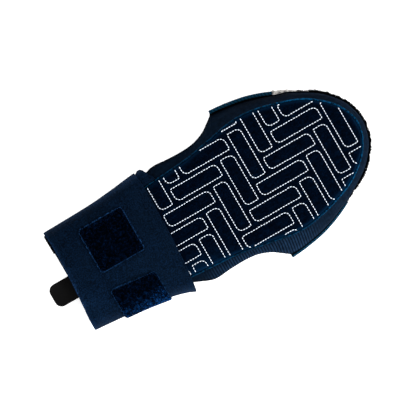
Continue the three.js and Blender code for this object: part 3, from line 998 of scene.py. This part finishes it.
def wall_edges():
    """The side wall's top and foot, from the left thumb opening round the tip to the right one."""
    hem_shares = np.linspace(WALL_START, WALL_CORNER, HEM_STEPS, endpoint=False)
    rim_shares = np.linspace(WALL_CORNER, 1 - WALL_CORNER, RIM_STEPS)
    shares = np.concatenate([hem_shares, rim_shares, 1 - hem_shares[::-1]])
    plan = along(inset(PALM_LINE, 0.6), shares)
    high = palm_edge_height(plan[:, 0]) - PIPING_RADIUS - GAP - KNIT / 2 - 0.1
    hem = along(HEM_LINE, np.linspace(0, 1, HEM_STEPS + 1))
    seam_line = inset(RIM_LINE, trim_width(RIM_LINE) + seam_room(RIM_LINE))
    seam = along(seam_line, np.linspace(0, 1, RIM_STEPS)[1:-1])
    seam = np.column_stack([seam, np.full(len(seam), HEM_ROWS[-1]["z"])])
    foot = np.concatenate([hem, seam, hem[::-1] * (1, -1, 1)]) + (0, LEAN, 0)
    return np.column_stack([plan, high]), foot


def wall_lit(x, y, share):
    """How much of the wall's lit side a place belongs to, and how much its ribs show there."""
    fade = 1 - 0.4 * smooth_step(share, 0.9, 1) - 0.2 * (1 - smooth_step(share, 0, 0.2))
    lit = smooth_step(x - 2.2 * y, 190, 270) * smooth_step(x, 96, 118) * fade
    ribbed = lit * (1 - 0.92 * smooth_step(x, 201, 226)) * (1 - 0.3 * smooth_step(-y, 60, 72))
    return lit, ribbed


def wall_shade(x, share, lit):
    """Lighter on the lit side and at its foot, darker on the other side before the fingertips."""
    tip = smooth_step(x, 252, 268)
    foot = smooth_step(share, 0.5, 1)
    dusk = smooth_step(x, 200, 222) * (1 - smooth_step(x, 250, 266))
    bright = lit * (SIDE_LIGHT + FOOT_LIGHT * smooth_step(share, 0.45, 0.9))
    dim_side = tip * (0.9 * smooth_step(share, 0.25, 0.8) - 0.2) - 0.45 * (1 - tip) * foot
    dim_side = dim_side - 0.5 * dusk * (1 - 0.9 * foot) * smooth_step(share, 0.1, 0.6)
    return bright + (1 - lit) * dim_side


def make_side_wall():
    top, foot = wall_edges()
    share = np.linspace(0, 1, WALL_STEPS)[None]
    drop = foot - top
    size = np.linalg.norm(drop, axis=1)
    level = np.linalg.norm(drop[:, :2], axis=1)
    out = drop[:, :2] / level[:, None]
    swell_way = np.column_stack([out * (-drop[:, 2] / size)[:, None], level / size])
    swell = WALL_BULGE * size[:, None] * np.sin(math.pi * share)
    grid = top[:, None] + drop[:, None] * share[..., None] + swell_way[:, None] * swell[..., None]
    x, y = grid[..., 0], grid[..., 1]
    lit, ribbed = wall_lit(x, y, share)
    across = x + 0.15 * np.clip(-y - 60, 0, None)
    ribs = ribbed * np.cos(2 * math.pi * across / RIB_PITCH)
    loose = WALL_SLACK * waves(x, y, 38, 8) * np.sin(math.pi * share)
    grid = grid + grid_normals(grid) * (loose - RIB_DEPTH * ribs)[..., None]
    uv = np.stack([across, np.broadcast_to(30 * share, x.shape)], axis=2) / 10
    piece = cloth_solid("side_wall_knit", grid, KNIT, "knit", uv, wall_shade(x, share, lit))
    carry(piece.data, "ribs", np.tile(RIB_CONTRAST * ribbed.ravel(), 2))
    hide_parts("side_wall")


def make_hems():
    """Rolled edge of the side wall along each thumb opening."""
    line = along(HEM_LINE, np.linspace(0.02, 0.99, 90))
    angles = circle(8)
    section = np.stack([np.cos(angles) * HEM_RADIUS - 0.15, np.sin(angles) * HEM_RADIUS], axis=1)
    rings = trim_rings(line, line[:, 2], section)
    for side, name in ((1, "side_hem_left"), (-1, "side_hem_right")):
        tube_solid(name, rings * (1, side, 1) + (0, LEAN, 0), "side_hem")


# The back plate

PAINTED_GROOVE_SHADOW = -0.9  # painted shadow: the plate's upper face is painted near black, seen in the groove between the side wall's foot and the tapes
BACK_ROUND = 3.5
BACK_SPACING = 2.0
BACK_COLUMNS = 70
WING_STEPS = 110


def make_back_plate():
    waist_x = np.arange(BACK_ROWS[0]["x"], BACK_ROWS[-1]["x"], BACK_SPACING)
    waist = np.column_stack([waist_x, table(BACK_ROWS, "half", waist_x)])
    wing_line = inset(RIM_LINE, trim_width(RIM_LINE * (1, -1)) - 0.2)
    wing = along(wing_line, np.linspace(0, 0.5, WING_STEPS))
    wing[-1, 1] = TIP_HALF
    x, y, half, distance = plate_grid(np.vstack([waist, wing]), BACK_ROUND, BACK_COLUMNS)
    rounded = edge_drop(distance, BACK_ROUND) * 0.55
    wider = RIGHT_TAPE["width"] - LEFT_TAPE["width"]
    to_left = smooth_step(x, 170, CORNER_X) * (1 - smooth_step(x, *NARROWING))
    lean = LEAN * smooth_step(x, 110, CORNER_X) + wider * to_left * np.clip(y / half, 0, 1)
    upper = np.stack([x, y + lean, table(BACK_ROWS, "top", x) - rounded], axis=2)
    lower = np.stack([x, y + lean, table(BACK_ROWS, "under", x) + rounded], axis=2)
    uv = np.stack([x, y], axis=2) / 10
    # painted shadow on the upper face only, none on the face below
    groove_shadow = np.stack([np.full(x.shape, PAINTED_GROOVE_SHADOW), np.zeros(x.shape)])
    piece = solid_between("back_plate_padded", upper, lower, "back", uv, groove_shadow)
    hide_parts("back_plate")


# The trims along the back's rim

LEFT_SHARE = share_at_x(RIM_LINE, LEFT_TAPE_END)
RIGHT_SHARE = 1 - share_at_x(RIM_LINE, RIGHT_TAPE_END)
PALE_END_SHARE = share_at_x(RIM_LINE, PALE_END)
RIM_STEP = 0.12 / RIM_LENGTH
PALE_SHARE = (PALE_END_SHARE - LEFT_SHARE) / (RIGHT_SHARE - LEFT_SHARE)
RIGHT_TAPE_SPLIT = 0.44  # only this share of the right tape's width is outside its painted seam shadow
PAINTED_SEAM_SHADOW = -0.94
TUFTS_PER_MM = 8
TUFT_LOOP = (1.1, 1.35, 0.22)


def rounded_section(width, height, corner, split=None, per_corner=4):
    """A flat section with round corners that lies inwards of the seam line.

    split adds a pair of points on its top, at that share of its width.
    """
    points = []
    corners = [
        (-corner, height - corner, 0),
        (-width + corner, height - corner, 90),
        (-width + corner, corner, 180),
        (-corner, corner, 270),
    ]
    for out, up, start in corners:
        for angle in np.radians(np.linspace(start, start + 90, per_corner)):
            points.append((out + corner * math.cos(angle), up + corner * math.sin(angle)))
        if split is not None and start == 0:
            points += [(-split * width + 0.05, height), (-split * width - 0.05, height)]
    return np.array(points)


def rim_trim(name, trim, start, end, cloth, relief, shade=0, part=None, split=None):
    """A trim along the bound seam between two shares of its length, and its outer line.

    part gives the stretch of its width that a slice of it takes, by the share along the trim.
    Inwards of a split of its width it is painted dark: painted shadow of the seam.
    """
    length = RIM_LENGTH * (end - start)
    steps = int(length / trim["spacing"])
    run = np.linspace(0, length, steps)
    line = along(RIM_LINE, np.linspace(start, end, steps)) + (0, LEAN)
    widths = trim_width(line)
    outer = np.zeros(steps)
    if part is not None:
        outer, inner = (widths * side for side in part(np.linspace(0, 1, steps)))
        widths = inner - outer
    corners = np.minimum(trim["corner"], 0.45 * widths)
    sections = np.array([
        rounded_section(width, trim["height"], corner, split) for width, corner in zip(widths, corners)
    ])
    shades = np.full(sections.shape[:2], float(shade))
    # painted seam shadow inwards of the split
    if split is not None:
        shades[-sections[..., 0] > split * widths[:, None]] = PAINTED_SEAM_SHADOW
    sections[..., 0] -= outer[:, None]
    out = sections - sections.mean(1, keepdims=True)
    out /= np.linalg.norm(out, axis=2, keepdims=True)
    sections += out * relief(run, sections.shape[:2])[..., None]
    rings = trim_rings(line, np.full(steps, trim["base"]), sections)
    around = np.linspace(0, 1.4, sections.shape[1])
    uv = np.stack(np.broadcast_arrays(run[:, None] / 10, around), axis=2).reshape(-1, 2)
    return tube_solid(name, rings, cloth, uv, shade=shades), line


def tape_ribs(run, shape):
    """Low slanted ribs of a woven tape."""
    return 0.1 * np.cos(2 * math.pi * run[:, None] / 1.8 + np.arange(shape[1]) * 0.9)


def rough_bumps(run, shape):
    """Uneven surface of the rough edge."""
    return np.clip(RNG.normal(0, 0.2, shape), -0.35, 0.4)


def pale_part(share):
    """The pale stretch thins out to nothing on its way to the tip."""
    return np.zeros_like(share), 1.0 - 0.85 * smooth_step(share, 0.1, 0.95)


def black_part(share):
    """The black edge runs inside the pale stretch, then alone, and thins out beside the right tape."""
    pale = share / PALE_SHARE
    beside = pale_part(np.minimum(pale, 1))[1] + 0.03
    start = beside * (1 - smooth_step(pale, 1, 1.03))
    end = 0.55 * smooth_step(share, 0.88, 0.95)
    return start + end, 1.5 - 0.5 * smooth_step(pale, 0.8, 1.1)


def make_wing_tapes():
    # painted light: each tape's shade value paints it lighter, the right tape on the lit side more so; the
    # right tape's split paints a seam shadow
    for name, trim, start, end, shade, split in (
        ("wing_tape_left", LEFT_TAPE, 0, LEFT_SHARE, 0.1, None),
        ("wing_tape_right", RIGHT_TAPE, RIGHT_SHARE, 1, 0.35, RIGHT_TAPE_SPLIT),
    ):
        piece, _ = rim_trim(f"{name}_ribbed", trim, start, end, "tape", tape_ribs, shade, split=split)
        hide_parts(name)


def make_rough_edges():
    start = LEFT_SHARE + RIM_STEP
    for name, end, cloth, part in (
        ("tip_edge_pale", PALE_END_SHARE, "rough_pale", pale_part),
        ("tip_edge", RIGHT_SHARE - RIM_STEP, "rough_black", black_part),
    ):
        piece, line = rim_trim(f"{name}_rough", ROUGH_EDGE, start, end, cloth, rough_bumps, part=part)
        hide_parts(name)
        make_edge_tufts(f"{name}_tufts", line, cloth, part)


def make_edge_tufts(name, line, cloth, part):
    """Short loops of pile that stand out of the rough edge."""
    count = int(length_of(line) * TUFTS_PER_MM)
    pick = RNG.uniform(0, len(line) - 1.001, count)
    low = pick.astype(int)
    within = (pick - low)[:, None]
    spots = line[low] * (1 - within) + line[low + 1] * within
    way_out = outward(line)[low]
    tilt = RNG.uniform(-0.3, 1.5, count)
    rise = np.clip(0.5 + 0.5 * np.sin(tilt), 0.05, 1)
    outer, inner = part(pick / len(line))
    width = ROUGH_EDGE["width"]
    reach = width * (inner - outer)
    inwards = width * outer + np.where(tilt > 0.9, reach * RNG.uniform(0.05, 0.7, count), 0.15)
    plan = spots - way_out * inwards[:, None]
    centres = np.column_stack([plan, ROUGH_EDGE["base"] + ROUGH_EDGE["height"] * rise - 0.1])
    ups = np.column_stack([way_out * np.cos(tilt)[:, None], np.sin(tilt)])
    ups += RNG.normal(0, 0.3, ups.shape)
    ways = RNG.normal(0, 1, (count, 3))
    clumps = 0.9 + 0.3 * waves(pick * 0.7, 0, 1.5, 51)
    sizes = np.clip(clumps * RNG.uniform(0.6, 1.3, count), 0.2, 1.6) * np.clip(reach, 0.4, 1)
    shape, faces = loop_shape(*TUFT_LOOP)
    scattered(name, shape * sizes[:, None, None], faces, centres, ways, ups, cloth)


# The strap

TURN_STEP = 0.0055
STRAP_COLUMNS = 64
ROOT_STEPS = 8  # rows over which the strap leaves the palm's edge
FLAT_HALF = 36  # stitches this near the middle stand straight up
SEAM_TURNS = (0.22, -0.26)
SEAM_INSETS = (2.2, 7.0)
SEAM_PITCH = 2.4
SEAM_STITCH = (2.0, 0.5, 0.35)


def strap_points(x, turn, depth):
    """Points of the flattened strap's outer skin, or a depth inside it."""
    quarters = 4 * (turn + 1)
    quarter = np.floor(quarters).astype(int) % 4
    part = quarters - np.floor(quarters)
    away = np.where(quarter % 2 == 0, part, 1 - part)
    left = quarter >= 2
    palm_side = (quarter == 0) | (quarter == 3)
    half = np.where(left, table(STRAP_ROWS, "left", x), table(STRAP_ROWS, "right", x))
    height = table(STRAP_ROWS, "height", x)
    level = np.minimum(2 * away, 1)
    fold = np.maximum(2 * away - 1, 0) * math.pi / 2
    crown = np.where(palm_side, STRAP_CROWN * level**2, 0)
    y = (half - FOLD_WIDTH) * level + (FOLD_WIDTH - depth) * np.sin(fold)
    rise = (height / 2 - depth - crown) * np.cos(fold)
    z = height / 2 + np.where(palm_side, rise, -rise)
    return np.stack([x, np.where(left, 1, -1) * y, z], axis=-1)


def turn_at_girth(x, girth, side):
    """Turn at a distance round the strap from the middle of the palm side."""
    flat = table(STRAP_ROWS, side, x) - FOLD_WIDTH
    half_height = table(STRAP_ROWS, "height", x) / 2
    fold_length = math.pi / 2 * np.sqrt((FOLD_WIDTH**2 + half_height**2) / 2)
    eighths = np.where(np.abs(girth) < flat, girth / flat, 1 + (girth - flat) / fold_length)
    return (1 if side == "right" else -1) * 0.125 * eighths


def strap_swell(x, turn):
    """How far the soft strap stands off its plain form: slack between its folds."""
    girth = turn * STRAP_GIRTH
    palm_side = smooth_step(np.cos(2 * math.pi * turn), -0.2, 0.6)
    slack = 0.35 * waves(x, girth, 52, 21) + 0.12 * waves(x, girth, 19, 22)
    return slack * palm_side


def strap_shade(x, right, inwards, turns, outer):
    """Painted light and shade: lighter to the right, where the key light falls, with painted highlights at
    its folds and wrist edge and painted shade on its inner layer at the wrist.

    right is the distance to the right of the middle, inwards that from the wrist edge.
    """
    shade = 0.4 * smooth_step(right, -30, 45) + 0.9 * smooth_step(right, 44, 60) - 0.15
    shade += 0.25 * smooth_step(-x, -34, 4) * smooth_step(right, -20, 20)
    shade += 0.7 * smooth_step(-right, 51.5, 55)
    # painted highlight along the outer layer's wrist edge, then painted shade on the inner layer near the
    # wrist
    shade += outer * (1.5 * bell(inwards, 1.4) + 0.45 * bell(inwards, 3.2))
    inner = (1 - outer) * smooth_step(turns, 0.55, 0.7)
    return shade - 0.85 * inner * (1 - smooth_step(inwards, 4, 9))


def make_strap():
    first_turn, last_turn = WRAP_ROWS[0]["turn"], WRAP_ROWS[-1]["turn"]
    turns = np.append(np.arange(first_turn, last_turn, -TURN_STEP), last_turn)[:, None]
    edge = np.array([0, 0.003, 0.01])
    shares = np.concatenate([edge, np.linspace(0.02, 0.98, STRAP_COLUMNS), 1 - edge[::-1]])
    near = table(WRAP_ROWS, "near", turns, "turn")
    far = table(WRAP_ROWS, "far", turns, "turn")
    x = near + (far - near) * shares
    root = 1 + turn_at_girth(x, table(PALM_ROWS, "half", x) + 0.5, "left")
    blend = np.clip(1 - np.arange(len(turns)) / ROOT_STEPS, 0, 1)[:, None]
    turn = turns + (root - first_turn) * blend
    at_fold = 1 - smooth_step(turns, *FLARE_TURNS)
    layer = table(WRAP_ROWS, "inset", turns, "turn")
    outer = smooth_step(-turns, -0.35, -0.2)
    depth = layer * (1 - at_fold * smooth_step(x, *FLARE)) + STRAP_WALL / 2
    grid = strap_points(x, turn, depth - strap_swell(x, turn) * outer)
    girth = np.broadcast_to((first_turn - turns) * STRAP_GIRTH, x.shape)
    uv = np.stack([x, girth], axis=2) / 10
    shade = strap_shade(x, -grid[..., 1], x - near, turns, outer)
    piece = cloth_solid("wrist_strap_woven", grid, STRAP_WALL, "strap", uv, shade)
    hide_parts("wrist_strap")


def on_strap(x, turn, lift):
    """Points a lift above the strap's outer skin, and the skin's normals there."""
    base, ahead, beside = (
        strap_points(x + dx, turn + dturn, -strap_swell(x + dx, turn + dturn) - lift)
        for dx, dturn in ((0, 0), (0, 0.002), (0.5, 0))
    )
    normal = np.cross(ahead - base, beside - base)
    normal /= np.linalg.norm(normal, axis=-1)[..., None]
    return base, normal


def stitch_line(name, line, pitch, size, cloth):
    """Stitches along a line in space that lies on the strap's skin."""
    centres, ways = stitch_places(line, int(length_of(line) / pitch), 0.3)
    ups = centres - STRAP_MIDDLE
    ups[:, 0] = 0
    ups /= np.linalg.norm(ups, axis=1)[:, None]
    ups[np.abs(centres[:, 1]) < FLAT_HALF] = (0, 0, 1)
    scattered(name, *thread_shape(*size), centres, ways, ups, cloth)


def make_strap_seams():
    """Two rows of hem stitches near each edge of the strap, on its outer turn."""
    turns = np.linspace(*SEAM_TURNS, 240)
    for edge, side in (("far", -1), ("near", 1)):
        for row, inwards in enumerate(SEAM_INSETS):
            x = table(WRAP_ROWS, edge, turns, "turn") + side * inwards
            line, _ = on_strap(x, turns, 0.05)
            stitch_line(f"strap_seam_{edge}_{row}", line, SEAM_PITCH, SEAM_STITCH, "navy_thread")


# The patches on the strap

PATCH_LOOPS = 5200
PATCH_LOOP = (0.78, 1.15, 0.17)
PILE_MARGIN = 1.5
PATCH_SEAM_PITCH = 2.1
PATCH_SEAM_STITCH = (1.6, 0.45, 0.45)
TUFT_SPACING = 0.95
BRIGHT_TUFTS = 0.42
TUFT_TONES = (0.75, -1.6)  # of the bright tufts and of the dark ones
MOST_SHADE = 26


def patch_width(patch):
    return patch["x"][1] - patch["x"][0]


def patch_place(patch, share_x, distance):
    """x and turn of a place on a patch, by a share across it and a distance along its girth."""
    shrink = edge_drop(np.minimum(distance, patch["length"] - distance), PATCH_CORNER)
    x = patch["x"][0] + shrink + (patch_width(patch) - 2 * shrink) * share_x
    start = patch["start"][0] + (patch["start"][1] - patch["start"][0]) * share_x
    return x, turn_at_girth(x, start + distance, patch["side"])


def make_loop_patch(name, patch):
    length, width = patch["length"], patch_width(patch)
    corner = np.array([0, 0.02, 0.08, 0.2, 0.45, 0.75]) * PATCH_CORNER
    middle = np.linspace(PATCH_CORNER, length - PATCH_CORNER, 40)
    distance = np.concatenate([corner, middle, length - corner[::-1]])
    edge = np.array([0, 0.3, 0.65, 1.1, 1.8]) / width
    share = np.concatenate([edge, np.linspace(0.06, 0.94, 38), 1 - edge[::-1]])
    share_x, distance = np.meshgrid(share, distance)
    x, turn = patch_place(patch, share_x, distance)
    grid, _ = on_strap(x, turn, GAP + PATCH_THICKNESS / 2)
    uv = np.stack([x, distance], axis=2) / 10
    to_side = np.minimum(share_x, 1 - share_x) * width
    to_edge = np.minimum(to_side, np.minimum(distance, length - distance))
    uneven = np.clip(0.8 + 1.4 * waves(x, distance, 4, 41), 0, 2.6)
    shade = 14 * patch["line"] * bell(to_edge, 0.45) * uneven
    piece = cloth_solid(f"{name}_ground", grid, PATCH_THICKNESS, "pile_ground", uv, shade)
    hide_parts(name)
    make_patch_pile(f"{name}_loops", patch)
    make_patch_stitches(f"{name}_stitches", patch)


def tuft_values(x, distance):
    """A brightness for each loop that it shares with the loops of its own tuft."""
    low = np.array([x.min(), distance.min()])
    high = np.array([x.max(), distance.max()])
    count = int(np.prod(high - low) / TUFT_SPACING**2)
    middles = RNG.uniform(low, high, (count, 2))
    bright = RNG.uniform(0, 1, count) < BRIGHT_TUFTS
    tones = np.where(bright, *TUFT_TONES) + RNG.normal(0, 0.35, count)
    away = (x[:, None] - middles[:, 0]) ** 2 + (distance[:, None] - middles[:, 1]) ** 2
    return tones[away.argmin(1)]


def make_patch_pile(name, patch):
    count = PATCH_LOOPS
    inner = PILE_MARGIN / patch_width(patch)
    share_x = inner + (1 - 2 * inner) * RNG.uniform(0, 1, count)
    distance = RNG.uniform(PILE_MARGIN, patch["length"] - PILE_MARGIN, count)
    x, turn = patch_place(patch, share_x, distance)
    centres, normals = on_strap(x, turn, GAP + PATCH_THICKNESS - 0.1)
    normals *= np.where((normals * (centres - STRAP_MIDDLE)).sum(1) < 0, -1, 1)[:, None]
    ways = RNG.normal(0, 1, (count, 3))
    ups = normals + RNG.normal(0, 0.3, (count, 3))
    speckle = tuft_values(x, distance) + RNG.normal(0, 0.3, count)
    right = -centres[:, 1]
    # painted light: loops towards the strap's right fold, which faces the key light, are painted brighter
    fold_light = smooth_step(right, 30, 50) + 0.3 * smooth_step(right, 48, 52)
    shade = np.minimum(np.exp(patch["glow"] + speckle + 1.9 * fold_light) - 1, MOST_SHADE)
    scattered(name, *loop_shape(*PATCH_LOOP), centres, ways, ups, "pile_yarn", shade)


def make_patch_stitches(name, patch, margin=0.8):
    """A seam close inside a patch's edge."""
    length = patch["length"]
    inner = margin / patch_width(patch)
    distances = np.linspace(margin, length - margin, 60)
    shares = np.linspace(inner, 1 - inner, 60)
    loop = [
        *[(inner, d) for d in distances],
        *[(s, length - margin) for s in shares],
        *[(1 - inner, d) for d in distances[::-1]],
        *[(s, margin) for s in shares[::-1]],
    ]
    line, _ = on_strap(*patch_place(patch, *np.array(loop).T), GAP + PATCH_THICKNESS + 0.12)
    stitch_line(name, line, PATCH_SEAM_PITCH, PATCH_SEAM_STITCH, "blue_thread")


# The pull tab

TAB_WIDTH = 21.8
TAB_ROOT = 14
TAB_CORNER = 6.5


def tab_outline(inwards, per_corner=10):
    """The pull tab's outline, moved inwards, from its root round its end."""
    half = TAB_WIDTH / 2 - inwards
    end = -TAB_REACH + inwards
    corner = max(TAB_CORNER - inwards, 0.5)
    points = [(TAB_ROOT - inwards, -half), (TAB_ROOT - inwards, half)]
    for cy, start in ((half - corner, 90), (corner - half, 180)):
        for angle in np.radians(np.linspace(start, start + 90, per_corner)):
            points.append((end + corner + corner * math.cos(angle), cy + corner * math.sin(angle)))
    return np.array(points)


def make_pull_tab():
    """A moulded tab with a rounded edge and a low rim round a sunk field."""
    low, high = (1000 * corner.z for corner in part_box("pull_tab"))
    field = high - 0.4
    profile = [
        (0.6, low), (0.15, low + 0.25), (0, low + 0.8), (0, high - 0.8), (0.15, high - 0.25), (0.6, high),
        (1.7, high), (2.0, high - 0.12), (2.2, high - 0.35), (2.6, field), (4.5, field),
    ]
    rings = []
    for inwards, z in profile:
        outline = tab_outline(inwards)
        rings.append(np.column_stack([outline, np.full(len(outline), z)]))
    piece = tube_solid("pull_tab_moulded", np.array(rings), "rubber", sharp=50)
    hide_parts("pull_tab")


# Floor, light and camera

FLOOR_SIDE = 2500
WORLD_LIGHT = 1.4
LIGHTS = dict(
    key=dict(place=(0.9, -1.3, 1.15), size=0.9, power=56),
    fill=dict(place=(-0.7, 0.9, 1.6), size=1.4, power=6),
)  # metres and watts


def make_floor():
    side = FLOOR_SIDE
    corners = [(-side, -side, 0), (side, -side, 0), (side, side, 0), (-side, side, 0)]
    data = new_mesh("floor", np.array(corners) + (MIDDLE_X, 0, 0), [(0, 1, 2, 3)])
    data.materials.append(floor_paint())
    add_object("floor", data)


def make_light(name, place, size, power):
    light = bpy.data.lights.new(name, "AREA")
    light.shape = "SQUARE"
    light.size = size
    light.energy = power
    holder = add_object(name, light)
    holder.location = place
    holder.rotation_euler = (-Vector(place)).to_track_quat("-Z", "Y").to_euler()
    holder.visible_camera = False


def make_lights():
    world = bpy.data.worlds.new("studio")
    bpy.context.scene.world = world
    world.use_nodes = True
    background = world.node_tree.nodes["Background"]
    background.inputs["Color"].default_value = (1, 1, 1, 1)
    background.inputs["Strength"].default_value = WORLD_LIGHT
    for name, light in LIGHTS.items():
        make_light(name, **light)
    bpy.context.scene.view_settings.view_transform = "Standard"


def make_camera():
    camera = bpy.data.cameras.new("camera")
    camera.lens = LENS
    camera.sensor_width = SENSOR_WIDTH
    camera.clip_end = 50
    holder = add_object("camera", camera)
    x, y, z = to_frame(PHOTO_CENTRE)[0]
    distance = PHOTO_SIDE / 1000 * LENS / SENSOR_WIDTH
    holder.location = (x, y, z + distance)
    holder.rotation_euler = (0, 0, math.radians(PHOTO_ROLL))
    bpy.context.scene.camera = holder


runs = palm_runs()
panel = make_palm_panel(runs)
make_palm_stitches(panel, runs)
make_palm_piping()
make_side_wall()
make_hems()
make_back_plate()
make_wing_tapes()
make_rough_edges()
make_strap()
make_loop_patch("loop_patch_top", TOP_PATCH)
make_loop_patch("loop_patch_side", SIDE_PATCH)
make_strap_seams()
make_pull_tab()
make_floor()
make_lights()
make_camera()
